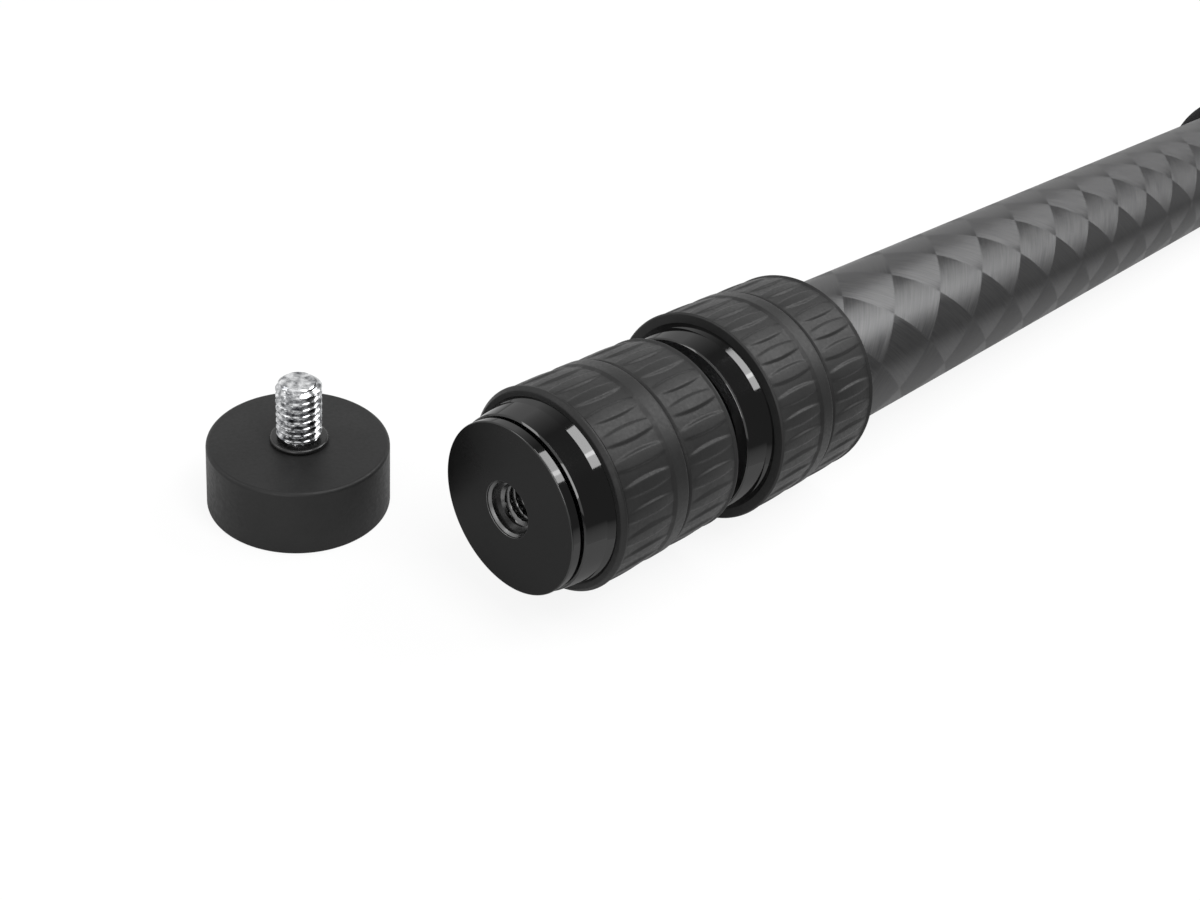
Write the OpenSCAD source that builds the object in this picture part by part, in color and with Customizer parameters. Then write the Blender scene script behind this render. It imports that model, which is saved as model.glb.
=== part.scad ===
// Three-section carbon fibre camera monopod, collapsed and lying down, with its screw-in
// rubber foot taken off and standing beside the lower end.
// Millimetres. The origin is the centre of the lower end face, +Y runs up the pole to the
// camera and +Z is up. Each piece of the pole is drawn along +Z, then laid down along +Y.

/* [Carbon tubes] */
// Outside diameter of the top tube
top_tube_d = 38; // [34:0.5:44]
// Wall of each tube
tube_wall = 1.5; // [1.2:0.1:1.8]
// Radial room between one tube and the next
tube_room = 0.5; // [0.4:0.05:0.8]
// Length of the top tube
top_tube_len = 540; // [460:5:640]
// Room between the inner tubes' upper ends and what is above them
nest_room = 6; // [3:0.5:12]

/* [Twist locks] */
// Length of the rubber grip on each lock nut
grip_len = 34.6; // [30:0.2:42]
// Rubber on the lower nut
lower_grip_wall = 2.15; // [1.6:0.05:3]
// Rubber on the upper nut
upper_grip_wall = 2.55; // [1.6:0.05:3.4]
// Bare collar in front of the lower grip
lower_collar_len = 7; // [6:0.1:9]
// Bare collar in front of the upper grip
upper_collar_len = 7.2; // [6:0.1:9]
// Smooth lip at the front of the lower grip
lower_lip = 1.1; // [0.8:0.1:4]
// Smooth lip at the front of the upper grip
upper_lip = 0.9; // [0.8:0.1:4]
// Smooth ring between the two leaf-patterned bands of a grip
band_ring = 3.5; // [2:0.1:5]
// Groove behind that ring
band_groove = 1.2; // [0.6:0.1:2]
// How much narrower the collar is at its front than the seat of the grip
collar_step = 0.95; // [0.8:0.05:1.4]
// Shoulder that the grip butts against, above its seat
shoulder_rise = 0.25; // [0.15:0.05:0.8]
// Length of the shoulder behind the tapered collar
shoulder_len = 1.9; // [0.8:0.1:3]
// Wall of the nut over its thread
nut_wall = 1.2; // [1:0.05:1.8]
// Wall of the threaded sleeve over its tube
sleeve_wall = 1.6; // [1.3:0.05:2.2]
// Length of the split collet
collet_len = 12; // [10:0.5:15]
// Wall of the split collet
collet_wall = 2.2; // [2:0.05:2.4]
// Slit in the collet
collet_slit = 1.6; // [0.8:0.1:3]
// Thickness of the dust seal
seal_len = 3; // [2:0.1:3.4]
// Room between the two locks when the pole is collapsed
stack_room = 4.6; // [4.2:0.1:12]
// Room between the end disc and the lower lock
end_room = 0.8; // [0.7:0.1:4]

/* [Tube guides] */
// Length of the guide shims
shim_len = 50; // [30:1:70]
// Radius of the shims' pegs
peg_r = 2; // [1:0.1:3]

/* [Lower end] */
// Diameter of the end disc
disc_d = 36.4; // [33:0.2:39]
// Thickness of the end disc
disc_t = 2.1; // [1.4:0.1:4]
// Depth of the plug in the lower tube
plug_len = 24; // [20:1:40]
// Depth of the threaded hole
socket_depth = 17; // [12:0.5:19]
// Diameter of the countersink at the mouth of the hole
sink_d = 12; // [11:0.1:14]

/* [Foot] */
// Diameter of the foot where it stands
foot_d = 39.4; // [34:0.2:48]
// How much narrower the foot is at its top
foot_draft = 1; // [0:0.1:3]
// Height of the rubber
foot_h = 15.5; // [13:0.5:22]
// Rounding of the top edge
foot_round = 1.2; // [0.5:0.1:2.5]
// Nominal diameter of the foot and camera screws, 1/4 or 3/8 inch
screw_d = 9.525; // [6.35, 9.525]
// Screw above the rubber
stud_len = 15; // [10:0.5:16]
// Depth of the plain neck below the thread of each screw
neck_depth = 0.9; // [0.6:0.05:1.2]
// Outside diameter of the ring round the screw
ring_d = 12.4; // [11.4:0.1:15]
// Height of that ring
ring_t = 1.2; // [0.8:0.1:2]
// Steel plate in the rubber
foot_plate_d = 28; // [22:0.5:31]
// Distance of the foot's centre from the pole's axis
foot_side = 52; // [50:0.5:90]
// Distance of the foot's centre in front of the end face
foot_front = 12.5; // [0:0.5:40]

/* [Upper end] */
// Thickness of the head plate
plate_t = 8; // [7:0.5:14]
// Depth of the casting's plug in the top tube
casting_plug_len = 30; // [20:1:45]
// Camera screw above the pad
head_screw_len = 11; // [8:0.5:14]
// Wall of the foam grip
foam_wall = 4.9; // [3:0.1:5.3]
// Length of the foam grip
foam_len = 206; // [120:2:260]
// Bare tube between the foam grip and the head plate
foam_room = 10; // [8:0.5:20]
// Diameter of the grub screws
grub_d = 4; // [3:0.5:4]
// Length of the grub screws
grub_len = 6; // [5:0.5:7]

/* [Hidden] */
$fn = 96;
// Overshoot of a cut past the face that it opens
cut = 1;

// Clearances
bond_gap = 0.05;
slide_gap = 0.05;
thread_gap = 0.05;
guide_gap = 0.15;
mouth_gap = 0.6;
seat_gap = 0.1;
hole_gap = 0.04;
face_gap = 0.3;

// Radii of the three tubes
top_r = top_tube_d / 2;
mid_r = top_r - tube_wall - tube_room;
low_r = mid_r - tube_wall - tube_room;
shim_t = tube_room - slide_gap;

// Inside of a lock, measured from the front rim of its nut
lip_len = 1.2;
web_len = 1.6;
seal_wall = 2;
cone_len = 3;
cone_rise = 1.2;
collet_z = lip_len + seal_len + web_len + face_gap;
collet_end = collet_z + collet_len;
sleeve_z = collet_end - cone_len - 0.5;
guide_z = collet_end + 0.2;
guide_len = 2;
tube_seat_z = guide_z + guide_len;
sleeve_tail = 1;

// Nuts and grips
upper_nut_len = upper_collar_len + grip_len + face_gap;
lower_nut_len = lower_collar_len + grip_len + face_gap;
upper_seat_r = top_r + sleeve_wall + thread_gap + nut_wall;
lower_seat_r = mid_r + sleeve_wall + thread_gap + nut_wall;
upper_grip_r = upper_seat_r + upper_grip_wall;
lower_grip_r = lower_seat_r + lower_grip_wall;
rim_chamfer = 0.35;
rim_len = 0.5;

// Places along the pole, from the end face
lower_nut_y = disc_t + end_room;
upper_nut_y = lower_nut_y + lower_nut_len + stack_room;
top_tube_y = upper_nut_y + tube_seat_z;
mid_tube_y = lower_nut_y + tube_seat_z;
low_tube_y = disc_t;
plate_y = top_tube_y + top_tube_len;
bumper_t = 3;
bumper_y = plate_y - casting_plug_len - bumper_t;
mid_tube_len = bumper_y - face_gap - mid_tube_y;
low_tube_len = bumper_y - nest_room - low_tube_y;
shim_margin = 1;
peg_hole_r = peg_r + hole_gap;

// The floor touches the upper grip and the head plate, which are equally wide
plate_r = upper_grip_r;
floor_z = -upper_grip_r;

// Lower end and foot
disc_r = disc_d / 2;
disc_chamfer_w = 0.1;
disc_chamfer_len = 0.35;
screw_r = screw_d / 2;
neck_r = screw_r - neck_depth;
screw_chamfer = 1;
sink_depth = 0.8;
step_r = screw_r + 0.65;
step_depth = 2.4;
socket_r = screw_r + hole_gap;
foot_r = foot_d / 2;
foot_top_r = foot_r - foot_draft / 2;
foot_edge = 0.4;
tread_w = 1.6;
tread_depth = 0.8;
foot_plate_r = foot_plate_d / 2;
foot_plate_t = 2.5;
foot_plate_z = 7;
stud_head_r = 8;
stud_head_t = 4;
ring_r = ring_d / 2;

// Upper end
pad_t = 1.6;
pad_inset = 0.8;
pad_r = top_r - 0.5;
pad_hole_r = screw_r + 2;
head_screw_depth = 20;
slot_w = 1.4;
slot_depth = 1.6;
foam_r = top_r + foam_wall;
foam_round = 2;
foam_y = plate_y - foam_room - foam_len;
grub_r = grub_d / 2;
grub_circle_r = (top_r + plate_r) / 2;
grub_count = 3;
plate_edge = 0.8;
key_r = 1.1;
key_depth = 2;

// Colours
carbon = [0.20, 0.20, 0.21];
black_metal = [0.07, 0.07, 0.08];
rubber = [0.17, 0.17, 0.17];
plastic = [0.30, 0.30, 0.30];
bare_alloy = [0.62, 0.63, 0.65];
zinc = [0.78, 0.79, 0.80];

// Lays a piece drawn along +Z down along +Y, its zero moved to y
module lay(y = 0) {
    translate([0, y, 0]) rotate([-90, 0, 0]) children();
}

// Stands a piece of the foot on the floor beside the pole
module stand(z = 0) {
    translate([-foot_side, -foot_front, floor_z + z]) children();
}

// Round piece from an outline of [radius, height] points
module turned(outline) {
    rotate_extrude() polygon(outline);
}

// Plain tube
module pipe(outer_r, inner_r, len) {
    difference() {
        cylinder(r = outer_r, h = len);
        translate([0, 0, -cut]) cylinder(r = inner_r, h = len + 2 * cut);
    }
}

// Radial cylinder through the wall at one side, from the inner to the outer radius
module radial_peg(r, from_r, to_r) {
    rotate([0, 90, 0]) translate([0, 0, from_r]) cylinder(r = r, h = to_r - from_r, $fn = 32);
}

// Carbon tube with two peg holes for the shims at its upper end
module inner_tube(outer_r, len) {
    hole_z = len - shim_margin - shim_len / 2;
    difference() {
        pipe(outer_r, outer_r - tube_wall, len);
        for (side = [90, 270])
            translate([0, 0, hole_z]) rotate([0, 0, side])
                radial_peg(peg_hole_r, outer_r - tube_wall - cut, outer_r + cut);
    }
}

// Two half shells that slide in the next tube, each with a peg into the inner tube
module shims(tube_r, len) {
    seam = 1.2;
    for (side = [90, 270])
        translate([0, 0, len - shim_margin - shim_len]) rotate([0, 0, side]) {
            difference() {
                pipe(tube_r + shim_t, tube_r, shim_len);
                translate([-2 * tube_r + seam / 2, -2 * tube_r, -cut])
                    cube([2 * tube_r, 4 * tube_r, shim_len + 2 * cut]);
            }
            translate([0, 0, shim_len / 2])
                radial_peg(peg_r, tube_r - tube_wall, tube_r + shim_t / 2);
        }
}

// Threaded sleeve of a lock: cone for the collet, guide for the inner tube, socket for the outer
module lock_sleeve(inner_r, outer_r, nut_len) {
    thread_r = outer_r + sleeve_wall;
    mouth_r = inner_r + collet_wall + seat_gap;
    turned([
        [mouth_r, sleeve_z],
        [thread_r - 0.5, sleeve_z],
        [thread_r, sleeve_z + 0.5],
        [thread_r, nut_len + sleeve_tail],
        [outer_r + bond_gap, nut_len + sleeve_tail],
        [outer_r + bond_gap, tube_seat_z],
        [inner_r + guide_gap, tube_seat_z],
        [inner_r + guide_gap, guide_z],
        [mouth_r - cone_rise, guide_z],
        [mouth_r - cone_rise, collet_end],
        [mouth_r, collet_end - cone_len],
    ]);
}

// Split collet with a cone at each end
module lock_collet(inner_r) {
    wide_r = inner_r + collet_wall;
    difference() {
        turned([
            [inner_r + slide_gap, collet_z],
            [wide_r - cone_rise, collet_z],
            [wide_r, collet_z + cone_len],
            [wide_r, collet_end - cone_len],
            [wide_r - cone_rise, collet_end],
            [inner_r + slide_gap, collet_end],
        ]);
        translate([0, -collet_slit / 2, 0]) cube([2 * inner_r, collet_slit, collet_end + cut]);
    }
}

// Lock nut: bright tapered collar and shoulder, seat for the rubber behind, and the thread inside
module lock_nut(inner_r, outer_r, seat_r, collar_len, nut_len) {
    collar_r = seat_r - collar_step;
    shoulder_r = seat_r + shoulder_rise;
    bore_r = inner_r + collet_wall + seat_gap;
    thread_r = outer_r + sleeve_wall + thread_gap;
    turned([
        [inner_r + mouth_gap, 0],
        [collar_r - rim_chamfer, 0],
        [collar_r, rim_len],
        [shoulder_r, collar_len - shoulder_len],
        [shoulder_r, collar_len],
        [seat_r, collar_len],
        [seat_r, nut_len - rim_chamfer],
        [seat_r - rim_chamfer, nut_len],
        [thread_r, nut_len],
        [thread_r, sleeve_z - face_gap],
        [bore_r, sleeve_z - face_gap],
        [bore_r, collet_z + cone_len],
        [bore_r - cone_rise, collet_z],
        [bore_r - cone_rise, lip_len + seal_len + web_len],
        [inner_r + mouth_gap, lip_len + seal_len + web_len],
        [inner_r + mouth_gap, lip_len + seal_len],
        [inner_r + seal_wall, lip_len + seal_len],
        [inner_r + seal_wall, lip_len],
        [inner_r + mouth_gap, lip_len],
    ]);
}

// Rubber dust seal in the mouth of a nut, its lip touching the inner tube
module lock_seal(inner_r) {
    turned([
        [inner_r + slide_gap, lip_len],
        [inner_r + seal_wall, lip_len],
        [inner_r + seal_wall, lip_len + seal_len],
        [inner_r + mouth_gap, lip_len + seal_len],
        [inner_r + mouth_gap, lip_len + seal_len / 2],
        [inner_r + slide_gap, lip_len + seal_len / 4],
    ]);
}

// Rubber grip: a lip, then two equal bands with a smooth ring and a groove between them
module lock_grip(seat_r, wall, lip) {
    r = seat_r + wall;
    front_edge = 1.15;
    rear_edge = 0.4;
    line_w = 0.3;
    line_depth = 0.25;
    groove_depth = 0.9;
    band = (grip_len - lip - band_ring - band_groove - rear_edge) / 2;
    ring_z = lip + band;
    groove_z = ring_z + band_ring;
    turned([
        [seat_r, 0],
        [r - front_edge, 0],
        [r - front_edge * 0.3, lip * 0.3],
        [r, lip * 0.85],
        [r, lip],
        [r - line_depth, lip],
        [r - line_depth, lip + line_w],
        [r, lip + line_w],
        [r, ring_z - line_w],
        [r - line_depth, ring_z - line_w],
        [r - line_depth, ring_z],
        [r, ring_z],
        [r, groove_z],
        [r - groove_depth, groove_z + band_groove * 0.3],
        [r - groove_depth, groove_z + band_groove * 0.7],
        [r, groove_z + band_groove],
        [r, grip_len - rear_edge],
        [r - rear_edge, grip_len],
        [seat_r, grip_len],
    ]);
}

module top_tube() {
    color(carbon) lay(top_tube_y) pipe(top_r, top_r - tube_wall, top_tube_len);
}

module middle_tube() {
    color(carbon) lay(mid_tube_y) inner_tube(mid_r, mid_tube_len);
}

module lower_tube() {
    color(carbon) lay(low_tube_y) inner_tube(low_r, low_tube_len);
}

module middle_shims() {
    color(plastic) lay(mid_tube_y) shims(mid_r, mid_tube_len);
}

module lower_shims() {
    color(plastic) lay(low_tube_y) shims(low_r, low_tube_len);
}

module upper_sleeve() {
    color(black_metal) lay(upper_nut_y) lock_sleeve(mid_r, top_r, upper_nut_len);
}

module lower_sleeve() {
    color(black_metal) lay(lower_nut_y) lock_sleeve(low_r, mid_r, lower_nut_len);
}

module upper_collet() {
    color(plastic) lay(upper_nut_y) lock_collet(mid_r);
}

module lower_collet() {
    color(plastic) lay(lower_nut_y) lock_collet(low_r);
}

module upper_nut() {
    color(black_metal) lay(upper_nut_y)
        lock_nut(mid_r, top_r, upper_seat_r, upper_collar_len, upper_nut_len);
}

module lower_nut() {
    color(black_metal) lay(lower_nut_y)
        lock_nut(low_r, mid_r, lower_seat_r, lower_collar_len, lower_nut_len);
}

module upper_grip() {
    color(rubber) lay(upper_nut_y + upper_collar_len)
        lock_grip(upper_seat_r, upper_grip_wall, upper_lip);
}

module lower_grip() {
    color(rubber) lay(lower_nut_y + lower_collar_len)
        lock_grip(lower_seat_r, lower_grip_wall, lower_lip);
}

module upper_seal() {
    color(rubber) lay(upper_nut_y) lock_seal(mid_r);
}

module lower_seal() {
    color(rubber) lay(lower_nut_y) lock_seal(low_r);
}

// End disc and its plug in the lower tube, with the countersunk threaded hole
module foot_socket() {
    plug_r = low_r - tube_wall - bond_gap;
    color(black_metal) lay() turned([
        [sink_d / 2, 0],
        [disc_r - disc_chamfer_w, 0],
        [disc_r, disc_chamfer_len],
        [disc_r, disc_t],
        [plug_r, disc_t],
        [plug_r, disc_t + plug_len],
        [0, disc_t + plug_len],
        [0, socket_depth + screw_r / 2],
        [socket_r, socket_depth],
        [socket_r, step_depth + 0.3],
        [step_r, step_depth],
        [step_r, sink_depth],
    ]);
}

// Rubber of the foot, moulded round the plate and the head of the screw
module foot_pad() {
    edge_steps = 6;
    color(rubber) stand() difference() {
        turned(concat(
            [[0, 0], [foot_r - foot_edge, 0], [foot_r, foot_edge]],
            [for (i = [0:edge_steps]) let (a = i * 90 / edge_steps)
                [foot_top_r - foot_round * (1 - cos(a)), foot_h - foot_round * (1 - sin(a))]],
            [[0, foot_h]]));
        foot_core();
        for (r = [foot_r * 0.45, foot_r * 0.7])
            translate([0, 0, -cut]) pipe(r + tread_w, r, cut + tread_depth);
    }
}

// Plate, head and neck of the screw as one shape, which the rubber is moulded round
module foot_core() {
    translate([0, 0, foot_plate_z]) cylinder(r = foot_plate_r, h = foot_plate_t);
    translate([0, 0, foot_plate_z - stud_head_t])
        cylinder(r = stud_head_r, h = stud_head_t + cut);
    translate([0, 0, foot_plate_z]) cylinder(r = neck_r, h = foot_h);
}

module foot_plate() {
    color(zinc) stand(foot_plate_z) pipe(foot_plate_r, neck_r, foot_plate_t);
}

// Screw of the foot, its round head under the plate, its thread from the top of the ring
module foot_stud() {
    top = foot_h + stud_len;
    thread_z = foot_h + ring_t;
    color(zinc) stand() turned([
        [0, foot_plate_z - stud_head_t],
        [stud_head_r, foot_plate_z - stud_head_t],
        [stud_head_r, foot_plate_z],
        [neck_r, foot_plate_z],
        [neck_r, thread_z],
        [screw_r, thread_z],
        [screw_r, top - screw_chamfer],
        [screw_r - screw_chamfer, top],
        [0, top],
    ]);
}

// Rubber ring round the neck of the screw, its outer side half round
module foot_ring() {
    steps = 8;
    color(rubber) stand(foot_h) turned(concat(
        [[neck_r + hole_gap, 0]],
        [for (i = [0:steps]) let (a = i * 180 / steps - 90)
            [ring_r + ring_t / 2 * (cos(a) - 1), ring_t / 2 * (1 + sin(a))]],
        [[neck_r + hole_gap, ring_t]]));
}

// Rubber stop ring under the casting's plug
module bumper() {
    color(rubber) lay(bumper_y) pipe(mid_r, mid_r - 2 * tube_wall, bumper_t);
}

// Plug and round head plate, cast in one, with its screw holes
module head_casting() {
    plug_r = top_r - tube_wall - bond_gap;
    color(black_metal) lay(plate_y) difference() {
        turned([
            [0, -casting_plug_len],
            [plug_r, -casting_plug_len],
            [plug_r, 0],
            [plate_r - plate_edge, 0],
            [plate_r, plate_edge],
            [plate_r, plate_t - plate_edge],
            [plate_r - plate_edge, plate_t],
            [pad_r, plate_t],
            [pad_r, plate_t - pad_inset],
            [0, plate_t - pad_inset],
        ]);
        translate([0, 0, plate_t - head_screw_depth])
            cylinder(r = neck_r + hole_gap, h = head_screw_depth + cut);
        for (i = [0:grub_count - 1])
            rotate([0, 0, i * 360 / grub_count]) translate([grub_circle_r, 0, -cut])
                cylinder(r = grub_r + hole_gap, h = plate_t + 2 * cut, $fn = 32);
    }
}

// Rubber ring let into the head plate
module head_pad() {
    color(rubber) lay(plate_y + plate_t - pad_inset) pipe(pad_r, pad_hole_r, pad_t);
}

// Camera screw, its thread from the top of the pad, with a slot across its end
module head_screw() {
    thread_z = plate_t - pad_inset + pad_t;
    top = thread_z + head_screw_len;
    color(bare_alloy) lay(plate_y) difference() {
        turned([
            [0, plate_t - head_screw_depth],
            [neck_r, plate_t - head_screw_depth],
            [neck_r, thread_z],
            [screw_r, thread_z],
            [screw_r, top - screw_chamfer],
            [screw_r - screw_chamfer, top],
            [0, top],
        ]);
        translate([-screw_d, -slot_w / 2, top - slot_depth])
            cube([2 * screw_d, slot_w, slot_depth + cut]);
    }
}

// Three grub screws in the plate's overhang, each with a hexagon socket below
module grub_screws() {
    color(bare_alloy) lay(plate_y + (plate_t - grub_len) / 2)
        for (i = [0:grub_count - 1])
            rotate([0, 0, i * 360 / grub_count]) translate([grub_circle_r, 0, 0])
                difference() {
                    cylinder(r = grub_r, h = grub_len, $fn = 32);
                    translate([0, 0, -cut]) cylinder(r = key_r, h = key_depth + cut, $fn = 6);
                }
}

// Foam grip on the top tube
module hand_grip() {
    color(rubber) lay(foam_y) turned([
        [top_r, 0],
        [foam_r - foam_round, 0],
        [foam_r - foam_round * 0.3, foam_round * 0.3],
        [foam_r, foam_round],
        [foam_r, foam_len - foam_round],
        [foam_r - foam_round * 0.3, foam_len - foam_round * 0.3],
        [foam_r - foam_round, foam_len],
        [top_r, foam_len],
    ]);
}

top_tube();
hand_grip();
head_casting();
head_pad();
head_screw();
grub_screws();
bumper();
upper_sleeve();
upper_collet();
upper_nut();
upper_grip();
upper_seal();
middle_tube();
middle_shims();
lower_sleeve();
lower_collet();
lower_nut();
lower_grip();
lower_seal();
lower_tube();
lower_shims();
foot_socket();
foot_pad();
foot_plate();
foot_stud();
foot_ring();
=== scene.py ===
"""Three-section carbon fibre camera monopod, collapsed and lying down, with its rubber foot screwed off
and standing beside the lower end.

Sizes are in millimetres until a mesh is made. The pole's axis is Y, from the foot end up to the camera
screw, +Z is up, and a turn round the pole is counted from straight up towards +X, where the camera is.
"""
import math
import bpy
import numpy as np
from mathutils import Matrix, Vector


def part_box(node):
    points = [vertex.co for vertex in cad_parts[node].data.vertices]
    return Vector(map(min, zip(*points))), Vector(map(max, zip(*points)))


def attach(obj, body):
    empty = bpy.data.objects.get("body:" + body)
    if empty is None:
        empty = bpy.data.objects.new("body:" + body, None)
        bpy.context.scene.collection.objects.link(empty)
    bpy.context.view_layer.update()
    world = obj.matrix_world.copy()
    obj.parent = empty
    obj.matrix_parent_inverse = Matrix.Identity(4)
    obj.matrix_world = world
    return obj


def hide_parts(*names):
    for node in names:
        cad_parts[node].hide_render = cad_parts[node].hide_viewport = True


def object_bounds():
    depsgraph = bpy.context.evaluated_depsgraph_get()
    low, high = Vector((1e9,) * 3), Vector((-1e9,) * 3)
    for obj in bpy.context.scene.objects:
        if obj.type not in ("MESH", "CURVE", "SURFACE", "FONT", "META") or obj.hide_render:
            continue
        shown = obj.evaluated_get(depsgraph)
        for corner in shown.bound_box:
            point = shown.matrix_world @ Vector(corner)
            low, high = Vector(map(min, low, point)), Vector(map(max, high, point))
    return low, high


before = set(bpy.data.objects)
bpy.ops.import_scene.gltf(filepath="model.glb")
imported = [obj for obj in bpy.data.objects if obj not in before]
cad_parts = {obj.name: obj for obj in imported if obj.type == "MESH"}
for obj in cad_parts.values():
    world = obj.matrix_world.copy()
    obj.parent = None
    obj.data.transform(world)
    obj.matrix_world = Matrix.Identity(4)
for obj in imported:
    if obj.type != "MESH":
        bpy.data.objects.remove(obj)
CAD_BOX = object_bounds()

MM = 0.001
# Steps round a turned piece, and the most that one step of a rounded corner turns through
STEPS = 240
ARC_STEP = math.radians(12)
# Roundings of crisp, broken and eased machined edges
CRISP = 0.05
BROKEN = 0.2
EASED = 0.3

# 3/8 inch-16 thread
PITCH = 25.4 / 16
THREAD_DEPTH = 0.61 * PITCH
ROWS_PER_PITCH = 14
RUN_IN = 0.7
SCREW_R = 9.525 / 2
NECK_R = SCREW_R - 0.9

# Twist locks, as the solids have them
UPPER_COLLAR_LEN = 7.2
LOWER_COLLAR_LEN = 7
COLLAR_STEP = 0.95
SHOULDER_RISE = 0.25
SHOULDER_LEN = 1.9
SLEEVE_WALL = 1.6
THREAD_GAP = 0.05
COLLET_WALL = 2.2
COLLET_LEN = 12
MOUTH_GAP = 0.6
SEAT_GAP = 0.1
SEAL_WALL = 2
LIP_LEN = 1.2
SEAL_LEN = 3
WEB_LEN = 1.6
FACE_GAP = 0.3
CONE_LEN = 3
CONE_RISE = 1.2
CONE_MARGIN = 0.5

# Shape of the collars in the scene alone: how far the flare's foot lies inside the shoulder, and the chamfer
# and the draft of the front
SHOULDER_TAPER = 0.65
RIM_CHAMFER = 0.3
RIM_DROP = 0.25

# Other values that the solids share
TUBE_WALL = 1.5
BOND_GAP = 0.05
HOLE_GAP = 0.04
GRUB_R = 2.04

# Hole in the end disc: countersink, step and thread, whose root is cut THREAD_ROOT of the pitch deep
SINK_R = 6
SINK_DEPTH = 0.8
SINK_LAND = 0.35
STEP_R = SCREW_R + 0.65
STEP_DEPTH = 2.4
SOCKET_DEPTH = 17
THREAD_ROOT = 0.54
THREAD_MOUTH = 0.6

# Foot, the places of its tread grooves as shares of its radius, and depth and length of its screw's chamfer
FOOT_DRAFT = 0.5
FOOT_ROUND = 0.9
FOOT_EDGE = 0.5
STUD_HEAD_R = 8
STUD_HEAD_T = 4
TREAD_W = 1.6
TREAD_DEPTH = 0.8
TREAD_PLACES = (0.7, 0.45)
STUD_CHAMFER = (1.3, 1.1)

# Head: roundings of the plate, the coin slot of the camera screw, and the fine grooves of the pad
PLUG_ROUND = 0.6
PLATE_ROUND = (0.8, 0.9)
SCREW_CHAMFER = 1
SLOT_WIDTH = 1.4
SLOT_DEPTH = 1.6
PAD_HOLE_GAP = 2
PAD_RIM = 1.6
PAD_GROOVE_W = 0.5
PAD_GROOVE_DEPTH = 0.35
PAD_GROOVE_STEP = 1.5

# Foam grip: rounding of its ends, and how much fuller its middle is
FOAM_ROUND = 2.4
FOAM_SWELL = 0.25

# Rubber grips: the lip, the ring and the groove between the bands, the groove behind the lip, the rear edge
UPPER_LIP = 0.5
LOWER_LIP = 1.1
BAND_RING = 3.5
BAND_GROOVE = 1.2
GROOVE_DEPTH = 0.95
LIP_GROOVE = 0.25
REAR_EDGE = 0.4
# Number of raised leaves in each band, and where their row starts as a share of one leaf's room
UPPER_LEAVES = (30, 0.48)
LOWER_LEAVES = (26, 0.39)
# Height and greatest width of a leaf, the width of its sloping side, its taper, and what it leaves free at a
# band's ends
LEAF_HEIGHT = 0.42
LEAF_W = 3
LEAF_SLOPE = 0.65
LEAF_TAPER = 0.4
LEAF_ROOM = 0.6
# Steps round the grip for each leaf, and longest step along it. They keep a grip under 200,000 triangles
LEAF_STEPS = 23
GRIP_STEP = 0.6

# Tapes of one hand round a tube, the weave's period along the tube over its radius, and where it starts
TAPES = 6
TAPE_RATIO = 21.9 / 19
TAPE_PHASE = (0.159, 0.393)
# How fine the fibre streaks in a tape are, along and across it, over one period of the weave
STREAKS = (1.5, 30.0)

# How much of a metal's usual gain in gloss at a glancing angle is left
EDGE_TINT = (0.7, 0.7, 0.7, 1)
# The values between which a noise is spread out, as the From Min and From Max inputs of a Map Range node
NOISE = {1: 0.3, 2: 0.7}

# Studio, in metres. The paper glows for the eye and less for gloss, and has a colour of its own for the rest
FLOOR_Z = CAD_BOX[0][2]
FLOOR_SIZE = 8
FLOOR_GLOW = 0.88
GLOSS_GLOW = 0.1
SKY_DIFFUSE = 0.44
PAPER = "d0d0d0"
# Name, direction and distance from the pole's lower end, size round and along the pole, and radiance of each
# softbox. A core is a narrow lamp in front of the one before it, for the bright line in its reflection
LAMPS = [
    ("far softbox", (0.219, 0.705, 0.674), 1.2, (0.757, 0.43), 5.5),
    ("far softbox core", (0.327, 0.705, 0.629), 1.1, (0.09, 0.39), 4.0),
    ("overhead softbox", (0.306, 0.126, 0.943), 1.2, (1.08, 0.37), 6.0),
    ("overhead softbox core", (0.458, 0.126, 0.88), 1.1, (0.08, 0.35), 5.0),
    ("front softbox", (0.43, -0.78, 0.45), 1.2, (0.7, 0.3), 4.0),
    ("side softbox", (-0.52, -0.57, 0.63), 1.2, (0.4, 0.4), 3.0),
]
# How bright gloss sees the dark cards, and how high the low one lies. Then the corners of each, how bright it
# starts, and where along X it fades from that to dark: over the pole, beyond it, and on the paper beside it
CARD_GLOW = 0.2
LOW_Z = FLOOR_Z + 0.001
CARDS = [
    ("ceiling card", [(-3, -0.2, 2), (5, -0.2, 2), (5, 6, 2), (-3, 6, 2)], 1.0, (-2.6, -0.5)),
    ("far card", [(3, -1, LOW_Z), (3, 6, LOW_Z), (3, 6, 2), (3, -1, 2)], 1.0, (-2.6, -0.5)),
    ("low card", [(0.06, -1, LOW_Z), (3, -1, LOW_Z), (3, 6, LOW_Z), (0.06, 6, LOW_Z)], 0.75, (0.06, 0.18)),
]

# Camera, fitted to the circles of the pole and the foot: focal length and sensor width in mm, place in
# metres, and heading, downward pitch and roll in degrees
LENS = 35.15
SENSOR = 36
CAMERA_PLACE = (0.12507, -0.12813, 0.14246)
CAMERA_TURNS = (39.21, 34.98, 9.545)


def extent(node):
    """Start and end along the pole, and outer radius, in mm, of a node that is turned round its axis."""
    low, high = (np.round(np.array(corner) / MM, 2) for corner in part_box(node))
    return low[1], high[1], max(-low[0], high[0], -low[2], high[2])


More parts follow.
